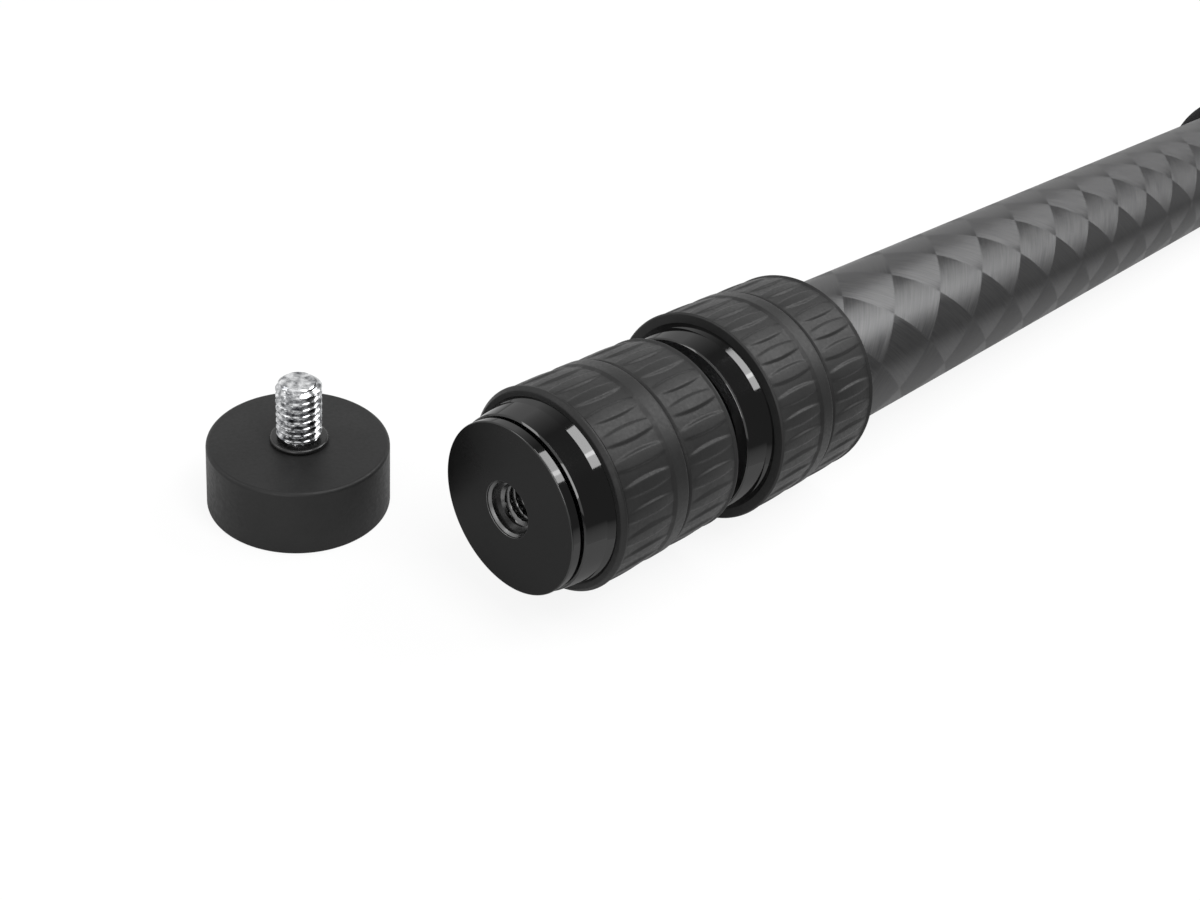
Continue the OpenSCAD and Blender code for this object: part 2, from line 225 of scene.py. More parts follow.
def rounded(*corners):
    """Outline through corners given as (radius, place) or (radius, place, rounding).

    A rounding is an arc that touches both sides of its corner. Its centre lies on the corner's bisector, at
    rounding / sin(half the corner's angle), and the arc turns through 180 degrees less that angle.
    """
    outline = []
    for i, corner in enumerate(corners):
        here = np.array(corner[:2], float)
        if len(corner) < 3:
            outline.append(here[None])
            continue
        to_before = np.array(corners[i - 1][:2]) - here
        to_after = np.array(corners[(i + 1) % len(corners)][:2]) - here
        to_before /= np.linalg.norm(to_before)
        to_after /= np.linalg.norm(to_after)
        half = math.acos(np.clip(to_before @ to_after, -1, 1)) / 2
        bisector = (to_before + to_after) / np.linalg.norm(to_before + to_after)
        centre = here + bisector * corner[2] / math.sin(half)
        first = here + to_before * corner[2] / math.tan(half) - centre
        last = here + to_after * corner[2] / math.tan(half) - centre
        sweep = math.pi - 2 * half
        share = np.linspace(0, 1, max(3, math.ceil(sweep / ARC_STEP) + 1))[:, None]
        arc = np.sin((1 - share) * sweep) * first + np.sin(share * sweep) * last
        outline.append(centre + arc / math.sin(sweep))
    return np.vstack(outline)


def filled(outline, step, start, end):
    """The outline with points added between start and end along the axis, at most step apart."""
    following = np.roll(outline, -1, axis=0)
    inside = (np.minimum(outline[:, 1], following[:, 1]) > start - step)
    inside &= np.maximum(outline[:, 1], following[:, 1]) < end + step
    length = np.linalg.norm(following - outline, axis=1)
    count = np.where(inside, np.maximum(1, np.ceil(length / step)), 1).astype(int)
    if outline[0, 0] == 0:
        count[-1] = 1
    share = np.concatenate([np.arange(n) / n for n in count])[:, None]
    return np.repeat(outline, count, axis=0) + share * np.repeat(following - outline, count, axis=0)


def solid(name, vertices, quads, triangles):
    """Mesh object from arrays in mm, turned inside out if its volume comes out negative.

    The volume is a sixth of the sum of a . (b x c) over the triangles of the surface.
    """
    corners = vertices[np.vstack([quads[:, :3], quads[:, [0, 2, 3]], triangles])]
    volume = np.einsum("ij,ij->", corners[:, 0], np.cross(corners[:, 1], corners[:, 2]))
    order = slice(None) if volume > 0 else slice(None, None, -1)
    mesh = bpy.data.meshes.new(name)
    faces = quads[:, order].tolist() + triangles[:, order].tolist()
    mesh.from_pydata((vertices * MM).tolist(), [], faces)
    mesh.shade_smooth()
    piece = bpy.data.objects.new(name, mesh)
    bpy.context.scene.collection.objects.link(piece)
    return piece


def turned(name, outline, shape=None, steps=STEPS, centre=(0, 0, 0), upright=False, sharp=50):
    """Closed surface of revolution.

    At turn t the point is (radius sin t, place, radius cos t), or (radius cos t, radius sin t, place) where
    the piece stands upright, and shape(radius, place, turn) may change the radii. An outline that begins
    and ends on the axis closes there in one point. Any other closes on itself.
    """
    turn = np.linspace(0, 2 * np.pi, steps, endpoint=False)
    poles = outline[[0, -1], 1] if outline[0, 0] == 0 else np.zeros(0)
    rows = outline[1:-1] if len(poles) else outline
    radius, place = (rows[:, k, None] + np.zeros(steps) for k in (0, 1))
    if shape:
        radius = shape(radius, place, turn)
    across, up = radius * np.sin(turn), radius * np.cos(turn)
    ring = np.stack([up, across, place] if upright else [across, place, up], -1).reshape(-1, 3)
    tips = np.array([(0, 0, y) if upright else (0, y, 0) for y in poles]).reshape(-1, 3)
    index = np.arange(radius.size).reshape(radius.shape)
    if not len(poles):
        index = np.vstack([index, index[:1]])
    beside = np.roll(index, -1, axis=1)
    quads = np.stack([index[:-1], beside[:-1], beside[1:], index[1:]], -1).reshape(-1, 4)
    fans = [(beside[0], index[0]), (index[-1], beside[-1])][:len(poles)]
    triangles = [np.stack([np.full(steps, radius.size + i), *fan], -1) for i, fan in enumerate(fans)]
    triangles = np.vstack(triangles + [np.zeros((0, 3), int)])
    piece = solid(name, np.vstack([ring, tips]) + centre, quads, triangles)
    piece.data.set_sharp_from_angle(angle=math.radians(sharp))
    return piece


def cut_away(piece, *cutters):
    """Cuts pieces out of another by exact booleans, applied at once, and deletes them."""
    for cutter in cutters:
        carve = piece.modifiers.new("cut", "BOOLEAN")
        carve.operation, carve.solver, carve.object = "DIFFERENCE", "EXACT", cutter
        bpy.context.view_layer.objects.active = piece
        bpy.ops.object.modifier_apply(modifier=carve.name)
        bpy.data.objects.remove(cutter)
    piece.data.set_sharp_from_angle(angle=math.radians(40))
    return piece


def groove_share(place, turn):
    """How deep a right-hand thread is cut, from 0 at its crest to 1 at its root.

    It depends on the distance from the crest's middle, |(place / pitch - turns) mod 1 - 1/2|, with a crest
    an eighth and a root a quarter of the pitch wide, and straight flanks between them.
    """
    off_crest = np.abs((place / PITCH - turn / (2 * np.pi)) % 1 - 0.5)
    return np.clip((off_crest - 1 / 16) / (3 / 8 - 1 / 16), 0, 1)


def screw_thread(start):
    """Cuts an outside thread above start: the radius is nowhere more than the thread's own."""
    def shape(radius, place, turn):
        cut = SCREW_R - THREAD_DEPTH * groove_share(place, turn)
        return np.where(place > start, np.minimum(radius, cut), radius)
    return shape


def leaf_share(place, turn, radius, middle, length, count, phase):
    """Height, from 0 to 1, of a ring of raised leaf-shaped pads round a grip.

    along runs from -1 to 1 over a leaf's length, and across is the arc to the nearest leaf's middle line. The
    leaf's edge lies at LEAF_W / 2 (1 - LEAF_TAPER along^2), its side climbs by a smooth step over LEAF_SLOPE,
    and its height falls off as (1 - along^2)^0.7.
    """
    along = np.clip(2 * (place - middle) / length, -1, 1)
    round_off = (turn / (2 * np.pi) * count - phase + 0.5) % 1 - 0.5
    across = np.abs(round_off) * 2 * np.pi * radius / count
    climb = np.clip((LEAF_W / 2 * (1 - LEAF_TAPER * along ** 2) - across) / LEAF_SLOPE + 0.5, 0, 1)
    return climb ** 2 * (3 - 2 * climb) * (1 - along ** 2) ** 0.7


def lock_nut(node, inner_tube, outer_tube, collar_len):
    """Lock nut: bright tapered collar that flares to its shoulder, seat for the rubber, and the collet's cone
    and the seal's groove inside. Its flat front, which faces a shaded gap, is painted lighter with a copy of
    the black anodising: painted light."""
    start, end, shoulder_r = extent(node)
    inner_r, outer_r = extent(inner_tube)[2], extent(outer_tube)[2]
    seat_r = shoulder_r - SHOULDER_RISE
    collar_r = seat_r - COLLAR_STEP
    mouth_r = inner_r + MOUTH_GAP
    bore_r = inner_r + COLLET_WALL + SEAT_GAP
    thread_r = outer_r + SLEEVE_WALL + THREAD_GAP
    seal_end = LIP_LEN + SEAL_LEN
    collet_z = seal_end + WEB_LEN + FACE_GAP
    step_z = collet_z + COLLET_LEN - CONE_LEN - CONE_MARGIN - FACE_GAP
    nut_len = end - start
    outline = rounded(
        (mouth_r, 0, BROKEN), (collar_r - RIM_DROP - RIM_CHAMFER, 0, CRISP),
        (collar_r - RIM_DROP, RIM_CHAMFER, CRISP),
        (shoulder_r - SHOULDER_TAPER, collar_len - SHOULDER_LEN, EASED), (shoulder_r, collar_len, CRISP),
        (seat_r, collar_len), (seat_r, nut_len, EASED), (thread_r, nut_len, BROKEN), (thread_r, step_z),
        (bore_r, step_z), (bore_r, collet_z + CONE_LEN), (bore_r - CONE_RISE, collet_z),
        (bore_r - CONE_RISE, seal_end + WEB_LEN), (mouth_r, seal_end + WEB_LEN), (mouth_r, seal_end),
        (inner_r + SEAL_WALL, seal_end), (inner_r + SEAL_WALL, LIP_LEN), (mouth_r, LIP_LEN))
    nut = turned(node + "_turned", outline + [0, start])
    # The flat front gets the lighter copy of the black anodising: painted light on a shaded face
    finish_faces(nut, flat_front(nut, start)[0], [anodised, painted_light_anodised])
    return nut


def lock_grip(node, nut, leaves, lip):
    """Rubber grip: a rounded lip, then two sunken bands of raised leaves with a smooth ring and a groove
    between them. The leaves' tops are flush with the lip and the ring, and the groove stays clear of them."""
    start, end, r = extent(node)
    seat_r = extent(nut)[2] - SHOULDER_RISE
    length = end - start
    band = (length - lip - BAND_RING - BAND_GROOVE - REAR_EDGE) / 2
    ring_z = lip + band
    groove_z = ring_z + BAND_RING
    low_r = r - LEAF_HEIGHT
    groove_r = r - GROOVE_DEPTH
    outline = rounded(
        (seat_r, 0), (r - 0.75 * lip, 0, 0.45 * lip), (r, 0.65 * lip, 0.5 * lip), (r, lip, 0.08),
        (low_r - LIP_GROOVE, lip + 0.1, 0.05), (low_r - LIP_GROOVE, lip + 0.25, 0.1), (low_r, lip + 0.5, 0.2),
        (low_r, ring_z - 0.9, 0.5), (r, ring_z, 0.5), (r, groove_z, 0.5),
        (groove_r, groove_z + 0.35 * BAND_GROOVE, 0.2), (groove_r, groove_z + 0.75 * BAND_GROOVE, 0.2),
        (low_r, groove_z + 1.1 * BAND_GROOVE, 0.3), (low_r, length - REAR_EDGE - 0.5, 0.2),
        (r, length - REAR_EDGE, 0.15), (r, length, 0.7 * REAR_EDGE), (seat_r, length))
    # The way back along the seat, which starts at the front face, gets no points
    outline = np.vstack([filled(outline[:-1], GRIP_STEP, GRIP_STEP, length), outline[-1:]])
    outline = outline[np.r_[True, np.linalg.norm(np.diff(outline, axis=0), axis=1) > 1e-4]]
    bands = [lip + band / 2, groove_z + BAND_GROOVE + band / 2]

    def shape(radius, place, turn):
        raised_r = radius
        for middle in bands:
            share = leaf_share(place - start, turn, r, middle, band - LEAF_ROOM, *leaves)
            raised_r = raised_r + np.maximum(r - radius, 0) * share
        return np.where(radius > groove_r + 0.3, raised_r, radius)
    return turned(node + "_moulded", outline + [0, start], shape, steps=leaves[0] * LEAF_STEPS, sharp=85)


def foot_socket():
    """End disc with its stepped, countersunk and threaded hole, and the plug in the lower tube. The flat
    front face has a finish of its own, and the hole is painted lighter with a copy of the black anodising:
    painted light in a shaded recess."""
    start, end, disc_r = extent("foot_socket")
    disc_t, _, tube_r = extent("lower_tube")
    plug_r = tube_r - TUBE_WALL - BOND_GAP
    major_r = SCREW_R + HOLE_GAP
    minor_r = major_r - THREAD_ROOT * PITCH
    outline = rounded(
        (0, end), (plug_r, end, 0.5), (plug_r, disc_t), (disc_r, disc_t, 0.1), (disc_r, 0, EASED),
        (SINK_R, 0, 0.1), (SINK_R - 0.05, SINK_LAND), (STEP_R, SINK_DEPTH, 0.1), (STEP_R, STEP_DEPTH),
        (minor_r + THREAD_MOUTH, STEP_DEPTH), (minor_r, STEP_DEPTH + THREAD_MOUTH), (minor_r, SOCKET_DEPTH),
        (0, SOCKET_DEPTH + minor_r / 2))
    rim = len(outline) - 3
    outline = np.vstack([outline[:rim], filled(outline[rim:], PITCH / ROWS_PER_PITCH, 0, SOCKET_DEPTH)])

    def shape(radius, place, turn):
        thread = minor_r + (major_r - minor_r) * (1 - groove_share(place, turn))
        bored = (place > STEP_DEPTH) & (place < SOCKET_DEPTH) & (radius < STEP_R)
        return np.where(bored, np.maximum(radius, thread), radius)
    disc = turned("end_disc", outline, shape, sharp=35)
    front, radii = flat_front(disc, start)
    # The hole's faces get the lighter copy of the black anodising: painted light where shade falls
    painted_light_hole = ~front & (radii < SINK_R + 0.2)
    finish_faces(disc, front + 2 * painted_light_hole, [anodised, faced_anodised, painted_light_anodised])
    return disc


def flat_front(piece, start):
    """Which faces of a turned piece make up its flat front at start, and how far each is from the axis."""
    normals = np.empty(len(piece.data.polygons) * 3)
    centres = np.empty_like(normals)
    piece.data.polygons.foreach_get("normal", normals)
    piece.data.polygons.foreach_get("center", centres)
    normals, centres = normals.reshape(-1, 3), centres.reshape(-1, 3) / MM
    front = (normals[:, 1] < -0.99) & (centres[:, 1] < start + 0.05)
    return front, np.hypot(centres[:, 0], centres[:, 2])


def finish_faces(piece, index, materials):
    """Gives a piece several materials, and each face the one that index names."""
    for material in materials:
        piece.data.materials.append(material)
    piece.data.polygons.foreach_set("material_index", np.asarray(index, np.int32))


def foot_pad():
    """Rubber of the foot: rounded top edge, slight draft, two tread grooves below, and the space for the
    plate and the head of the screw."""
    low, high = (np.round(np.array(corner) / MM, 2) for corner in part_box("foot_pad"))
    plate_low, plate_high = (np.round(np.array(corner) / MM, 2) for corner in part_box("foot_plate"))
    r, height = (high[0] - low[0]) / 2, high[2] - low[2]
    plate_r = (plate_high[0] - plate_low[0]) / 2
    plate_z, plate_top = plate_low[2] - low[2], plate_high[2] - low[2]
    corners = [(0, plate_z - STUD_HEAD_T), (STUD_HEAD_R, plate_z - STUD_HEAD_T), (STUD_HEAD_R, plate_z),
               (plate_r, plate_z), (plate_r, plate_top), (NECK_R, plate_top), (NECK_R, height),
               (r - FOOT_DRAFT, height, FOOT_ROUND), (r, 0, FOOT_EDGE)]
    for place in TREAD_PLACES:
        groove = r * place
        corners += [(groove + TREAD_W, 0, 0.2), (groove + TREAD_W, TREAD_DEPTH, 0.3),
                    (groove, TREAD_DEPTH, 0.3), (groove, 0, 0.2)]
    return turned("foot_rubber", rounded(*corners, (0, 0)), centre=(*foot_centre(), low[2]), upright=True)


def foot_centre():
    """Middle of the foot in plan, in mm."""
    low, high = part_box("foot_pad")
    return (low[0] + high[0]) / 2 / MM, (low[1] + high[1]) / 2 / MM


def foot_ring():
    """Rubber ring round the neck of the screw, its outer side half round."""
    low, high = (np.array(corner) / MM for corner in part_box("foot_ring"))
    height = high[2] - low[2]
    r = (high[0] - low[0]) / 2
    half_round = 0.49 * height
    outline = rounded((NECK_R + HOLE_GAP, 0), (r, 0, half_round), (r, height, half_round),
                      (NECK_R + HOLE_GAP, height))
    return turned("screw_ring", outline, centre=(*foot_centre(), low[2]), upright=True)


def foot_stud():
    """Plated screw of the foot: round head under the plate, plain neck, thread and a flat chamfered end."""
    low, high = (np.array(corner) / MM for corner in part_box("foot_stud"))
    plate_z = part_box("foot_plate")[0][2] / MM - low[2]
    thread_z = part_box("foot_ring")[1][2] / MM - low[2]
    top = high[2] - low[2]
    chamfer_w, chamfer_len = STUD_CHAMFER
    corners = [(0, 0), (STUD_HEAD_R, 0, 0.5), (STUD_HEAD_R, plate_z), (NECK_R, plate_z), (NECK_R, thread_z),
               (SCREW_R, thread_z + RUN_IN), (SCREW_R, top - chamfer_len), (SCREW_R - chamfer_w, top, 0.12),
               (0, top)]
    outline = filled(rounded(*corners), PITCH / ROWS_PER_PITCH, thread_z, top)
    return turned("foot_screw", outline, screw_thread(thread_z), centre=(*foot_centre(), low[2]),
                  upright=True, sharp=35)


def head_screw():
    """Camera screw with a slot across its end for a coin."""
    start, end, _ = extent("head_screw")
    thread_y = extent("head_pad")[1]
    outline = rounded((0, start), (NECK_R, start), (NECK_R, thread_y), (SCREW_R, thread_y + RUN_IN),
                      (SCREW_R, end - SCREW_CHAMFER), (SCREW_R - SCREW_CHAMFER, end, 0.12), (0, end))
    screw = turned("camera_screw", filled(outline, PITCH / ROWS_PER_PITCH, thread_y, end),
                   screw_thread(thread_y), sharp=35)
    return cut_away(screw, block((-6, 6), (end - SLOT_DEPTH, end + 1), (-SLOT_WIDTH / 2, SLOT_WIDTH / 2)))


def block(x, y, z):
    """Closed box between the limits given for each axis, in mm, as a cutter."""
    corners = np.array([(a, b, c) for a in x for b in y for c in z], float)
    quads = np.array([(0, 1, 3, 2), (4, 6, 7, 5), (0, 4, 5, 1), (2, 3, 7, 6), (0, 2, 6, 4), (1, 5, 7, 3)])
    return solid("cutter", corners, quads, np.zeros((0, 3), int))


def head_casting():
    """Plug and round head plate in one, with the hole for the camera screw and three grub screw holes. The
    steps round the holes don't line up with the plate's, so the cuts stay clean."""
    start, end, plate_r = extent("head_casting")
    pad_y, _, pad_r = extent("head_pad")
    plate_y = extent("top_tube")[1]
    plug_r = extent("top_tube")[2] - TUBE_WALL - BOND_GAP
    hole_r = NECK_R + HOLE_GAP
    hole_end = extent("head_screw")[0]
    outline = rounded(
        (0, start), (plug_r, start, PLUG_ROUND), (plug_r, plate_y), (plate_r, plate_y, PLATE_ROUND[0]),
        (plate_r, end, PLATE_ROUND[1]), (pad_r, end, 0.25), (pad_r, pad_y), (hole_r, pad_y),
        (hole_r, hole_end), (0, hole_end))
    plate = turned("head_plate", outline)
    circle_r = (extent("top_tube")[2] + plate_r) / 2
    holes = []
    for i in range(3):
        turn = math.radians(90 + i * 120)
        centre = (circle_r * math.sin(turn), 0, circle_r * math.cos(turn))
        outline = np.array([(0, plate_y - 1), (GRUB_R, plate_y - 1), (GRUB_R, end + 1), (0, end + 1)], float)
        holes.append(turned("cutter", outline, steps=50, centre=centre))
    return cut_away(plate, *holes)


def head_pad():
    """Rubber ring let into the head plate, with fine concentric grooves in its face."""
    start, end, r = extent("head_pad")
    hole_r = SCREW_R + PAD_HOLE_GAP
    half = PAD_GROOVE_W / 2
    corners = [(hole_r, start), (r, start), (r, end, 0.25)]
    for groove in np.arange(r - PAD_RIM, hole_r + 1, -PAD_GROOVE_STEP):
        corners += [(groove + half, end, 0.1), (groove, end - PAD_GROOVE_DEPTH, 0.1),
                    (groove - half, end, 0.1)]
    return turned("head_rubber", rounded(*corners, (hole_r, end, 0.25)), steps=160)


def hand_grip():
    """Foam sleeve with well rounded ends, very slightly fuller in its middle."""
    start, end, r = extent("hand_grip")
    tube_r = extent("top_tube")[2]
    outline = rounded((tube_r, start), (r, start, FOAM_ROUND), (r, end, FOAM_ROUND), (tube_r, end))
    outline = filled(outline, 2.5, start, end)

    def shape(radius, place, turn):
        ends = np.abs(2 * (place - start) / (end - start) - 1)
        return np.where(radius > tube_r + 0.1, radius - FOAM_SWELL * ends ** 6, radius)
    return turned("foam_sleeve", outline, shape)


def top_tube():
    """Top carbon tube, its ends slightly rounded."""
    start, end, r = extent("top_tube")
    bore = r - TUBE_WALL
    outline = rounded((bore, start, BROKEN), (r, start, EASED), (r, end, EASED), (bore, end, BROKEN))
    return turned("top_carbon_tube", outline)


def linear(code):
    """Scene-linear colour of an sRGB hex code."""
    parts = np.array([int(code[i:i + 2], 16) for i in (0, 2, 4)]) / 255
    return (*np.where(parts <= 0.04045, parts / 12.92, ((parts + 0.055) / 1.055) ** 2.4), 1.0)


def add(tree, kind, inputs=None, output=0, **settings):
    """Adds a shader node with its settings, links or sets its inputs, and returns one of its outputs, or the
    node itself where output is None."""
    made = tree.nodes.new("ShaderNode" + kind)
    for name, value in settings.items():
        setattr(made, name, value)
    for key, value in (inputs or {}).items():
        if isinstance(value, bpy.types.NodeSocket):
            tree.links.new(value, made.inputs[key])
        else:
            made.inputs[key].default_value = value
    return made if output is None else made.outputs[output]


def finish(name, **sockets):
    """New material with one Principled shader; returns the material, its tree and a function that sets or
    links the shader's sockets."""
    material = bpy.data.materials.new(name)
    material.use_nodes = True
    tree = material.node_tree
    shader = tree.nodes["Principled BSDF"]

    def give(**values):
        for key, value in values.items():
            socket = shader.inputs[key.replace("_", " ").title().replace("Ior", "IOR")]
            if isinstance(value, bpy.types.NodeSocket):
                tree.links.new(value, socket)
            else:
                socket.default_value = value
    give(**sockets)
    return material, tree, give


def grains(tree, size, detail=2.0, stretch=(1, 1, 1)):
    """Noise on Object coordinates whose grains are about size mm across, stretched along the axes."""
    scale = tuple(1 / (size * MM * part) for part in stretch)
    place = add(tree, "TexCoord", output="Object")
    scaled = add(tree, "Mapping", {"Vector": place, "Scale": scale})
    return add(tree, "TexNoise", {"Vector": scaled, "Scale": 0.5, "Detail": detail})


def clouded(tree, noise, dark, light):
    """Colour that wanders between two hex codes as a noise does."""
    factor = add(tree, "MapRange", {0: noise, **NOISE})
    return add(tree, "Mix", {0: factor, 6: linear(dark), 7: linear(light)}, 2, data_type="RGBA")


def black_anodised(name, rough, colour, marks=0.0006):
    """Black anodised aluminium, turned and bright dipped: a near-black metal, which mirrors a sixteenth of
    its surroundings where it is bright, with the faintest turning lines, marks mm deep."""
    material, tree, give = finish(name, metallic=1.0, base_color=linear(colour), specular_tint=EDGE_TINT)
    lines = grains(tree, 0.5, 2.0, (12, 1, 12))
    cloud = grains(tree, 6)
    give(roughness=add(tree, "MapRange", {0: cloud, **NOISE, 3: rough * 0.85, 4: rough * 1.15}),
         normal=add(tree, "Bump", {"Height": lines, "Distance": marks * MM}))
    return material


def moulded(name, dark, light, rough, grain=0.35, depth=0.02, gloss=0.5):
    """Rubber or plastic moulded in a spark-eroded tool: matt, a little greyer in clouds where it is handled,
    with a fine grain, depth mm deep. It is drawn at about three times its real size, so that it shows."""
    material, tree, give = finish(name, ior=1.5, specular_ior_level=gloss)
    cloud = grains(tree, 7, 3.0)
    grit = grains(tree, grain, 2.0)
    give(base_color=clouded(tree, cloud, dark, light),
         roughness=add(tree, "MapRange", {0: grit, **NOISE, 3: rough - 0.06, 4: rough + 0.06}),
         normal=add(tree, "Bump", {"Height": grit, "Distance": depth * MM}))
    return material


def bare_metal(name, dark, light, rough, marks=(0.4, (6, 1, 6)), depth=0.004, patches=(3, (1, 1, 1))):
    """Bare or plated metal: bright, with fine tool marks depth mm deep and lighter and darker patches. Both
    are given as a size in mm and how far they are stretched along X, Y and Z."""
    material, tree, give = finish(name, metallic=1.0)
    cloud = grains(tree, patches[0], 3.0, patches[1])
    lines = grains(tree, marks[0], 2.0, marks[1])
    give(base_color=clouded(tree, cloud, dark, light),
         roughness=add(tree, "MapRange", {0: cloud, **NOISE, 3: rough - 0.05, 4: rough + 0.07}),
         normal=add(tree, "Bump", {"Height": lines, "Distance": depth * MM}))
    return material


def foam(name):
    """Closed-cell EVA foam, skived: dead matt, its cut cells a fine pitting about 0.6 mm across. Its colour
    is darker at the bottom of each pit, which is painted shade, and varies at random in clouds.
    """
    material, tree, give = finish(name, ior=1.45)
    place = add(tree, "TexCoord", output="Object")
    cells = add(tree, "TexVoronoi", {"Vector": place, "Scale": 1 / (0.6 * MM), "Randomness": 1.0})
    cloud = grains(tree, 9, 3.0)
    pits = add(tree, "MapRange", {0: cells, 1: 0.1, 2: 0.8})
    # The colour is darker at the bottom of each pit: painted shade, multiplied by the random clouds
    pit_shade_and_clouds = add(tree, "Math", {0: pits, 1: cloud}, operation="MULTIPLY")
    colour = add(tree, "Mix", {0: pit_shade_and_clouds, 6: linear("1b1b1c"), 7: linear("363637")}, 2, data_type="RGBA")
    give(base_color=colour, roughness=0.92, normal=add(tree, "Bump", {"Height": pits, "Distance": 0.09 * MM}))
    return material


def carbon_fibre(name):
    """Carbon fibre tube wound from wide flat tapes at 45 degrees both ways, under a matt lacquer.

    Six tapes of each hand fit round the tube, so the weave's period along it is TAPE_RATIO times its radius.
    The tape on top alternates like a chessboard on the two helical coordinates. Graphite fibres mirror about
    a tenth of their light, as a dark metal does, and spread it across themselves, so tapes of one hand shine
    where those of the other stay dark.
    """
    material, tree, give = finish(name, metallic=1.0, anisotropic=0.7, specular_tint=EDGE_TINT)
    place = add(tree, "TexCoord", output="Object")
    x, y, z = add(tree, "SeparateXYZ", {0: place}, None).outputs
    radius = add(tree, "VectorMath", {0: add(tree, "CombineXYZ", {0: x, 2: z})}, "Value", operation="LENGTH")
    turn = add(tree, "Math", {0: x, 1: z}, operation="ARCTAN2")
    turns = add(tree, "Math", {0: turn, 1: TAPES / (2 * math.pi)}, operation="MULTIPLY")
    period = add(tree, "Math", {0: radius, 1: TAPE_RATIO}, operation="MULTIPLY")
    along = add(tree, "Math", {0: y, 1: period}, operation="DIVIDE")
    helices = []
    for operation, phase in zip(("ADD", "SUBTRACT"), TAPE_PHASE):
        helix = add(tree, "Math", {0: along, 1: turns}, operation=operation)
        helices.append(add(tree, "Math", {0: helix, 1: phase}, operation="ADD"))
    one, other = helices
    tapes = [add(tree, "Math", {0: helix}, operation="FLOOR") for helix in helices]
    cells = add(tree, "Math", {0: tapes[0], 1: tapes[1]}, operation="ADD")
    on_top = add(tree, "Math", {0: cells, 1: 2.0}, operation="FLOORED_MODULO")
    minus_x = add(tree, "Math", {0: x, 1: -1.0}, operation="MULTIPLY")
    hoop = add(tree, "VectorMath", {0: add(tree, "CombineXYZ", {0: z, 2: minus_x})}, operation="NORMALIZE")
    hand = add(tree, "MapRange", {0: on_top, 3: -1.0, 4: 1.0})
    tilted = add(tree, "VectorMath", {0: hoop, "Scale": hand}, operation="SCALE")
    across = add(tree, "VectorMath", {0: tilted, 1: (0, 1, 0)}, operation="ADD")
    world = add(tree, "VectorTransform", {0: across}, vector_type="VECTOR", convert_from="OBJECT",
                convert_to="WORLD")
    streaks = []
    for first, second in ((one, other), (other, one)):
        lengthwise = add(tree, "Math", {0: first, 1: STREAKS[0]}, operation="MULTIPLY")
        crosswise = add(tree, "Math", {0: second, 1: STREAKS[1]}, operation="MULTIPLY")
        line = add(tree, "CombineXYZ", {0: lengthwise, 1: crosswise})
        streaks.append(add(tree, "TexNoise", {"Vector": line, "Scale": 1.0, "Detail": 3.0}))
    streak = add(tree, "Mix", {0: on_top, 2: streaks[0], 3: streaks[1]})
    give(base_color=clouded(tree, streak, "555556", "646464"),
         roughness=add(tree, "MapRange", {0: streak, **NOISE, 3: 0.36, 4: 0.44}), tangent=world,
         normal=add(tree, "Bump", {"Height": streak, "Distance": 0.004 * MM}))
    return material


anodised = black_anodised("bright black anodised aluminium", 0.07, "464646")
faced_anodised = black_anodised("faced black anodised aluminium", 0.3, "303030", 0.002)
# A lighter copy of the black anodising: painted light on the nuts' shaded front faces and in the disc's hole
painted_light_anodised = black_anodised("black anodised aluminium painted lighter for shade", 0.26, "707070", 0.001)
satin_anodised = black_anodised("satin black anodised aluminium", 0.34, "343434", 0.002)
grip_rubber = moulded("moulded grip rubber", "1d1d1d", "262626", 0.46, gloss=0.3)
foot_rubber = moulded("moulded foot rubber", "1c1c1c", "232323", 0.45, 0.45, gloss=0.25)
ring_rubber = moulded("smooth rubber of the foot's ring", "101010", "141414", 0.28, depth=0.004)
seal_rubber = moulded("seal rubber", "141414", "1c1c1c", 0.55)
zinc = bare_metal("zinc plated steel", "4e5054", "f0f1f2", 0.17, marks=(0.5, (1, 1, 1)), depth=0.03,
                  patches=(0.7, (1, 1, 0.35)))
stainless = bare_metal("turned stainless steel", "a8a8aa", "c0c0c1", 0.24)
alloy = bare_metal("bare turned aluminium", "b0b1b4", "c6c7c9", 0.32, marks=(0.6, (6, 1, 6)))
acetal = moulded("moulded black acetal", "1a1a1b", "202021", 0.38, 0.8, 0.006)
eva = foam("skived EVA foam")
carbon = carbon_fibre("wound carbon fibre")

# Detailed piece, the node it stands for, the body it rides on, its material and the record's slot
DRESSED = [
    (top_tube, "top_tube", "top_section", carbon, "carbon_fibre"),
    (hand_grip, "hand_grip", "top_section", eva, "foam"),
    (head_casting, "head_casting", "top_section", satin_anodised, "black_anodised"),
    (head_pad, "head_pad", "top_section", grip_rubber, "grip_rubber"),
    (head_screw, "head_screw", "top_section", stainless, "stainless_steel"),
    (lambda: lock_nut("upper_nut", "middle_tube", "top_tube", UPPER_COLLAR_LEN), "upper_nut", "upper_lock",
     anodised, "black_anodised"),
    (lambda: lock_grip("upper_grip", "upper_nut", UPPER_LEAVES, UPPER_LIP), "upper_grip", "upper_lock",
     grip_rubber, "grip_rubber"),
    (lambda: lock_nut("lower_nut", "lower_tube", "middle_tube", LOWER_COLLAR_LEN), "lower_nut", "lower_lock",
     anodised, "black_anodised"),
    (lambda: lock_grip("lower_grip", "lower_nut", LOWER_LEAVES, LOWER_LIP), "lower_grip", "lower_lock",
     grip_rubber, "grip_rubber"),
    (foot_socket, "foot_socket", "lower_section", anodised, "black_anodised"),
    (foot_pad, "foot_pad", "foot", foot_rubber, "foot_rubber"),
    (foot_ring, "foot_ring", "foot", ring_rubber, "foot_rubber"),
    (foot_stud, "foot_stud", "foot", zinc, "zinc_plated_steel"),
]
# Nodes that are shown as their solids, by finish
KEPT = {
    carbon: ["middle_tube", "lower_tube"],
    alloy: ["upper_sleeve", "lower_sleeve"],
    stainless: ["grub_screws"],
    seal_rubber: ["bumper", "upper_seal", "lower_seal"],
    acetal: ["upper_collet", "lower_collet", "middle_shims", "lower_shims"],
    zinc: ["foot_plate"],
}


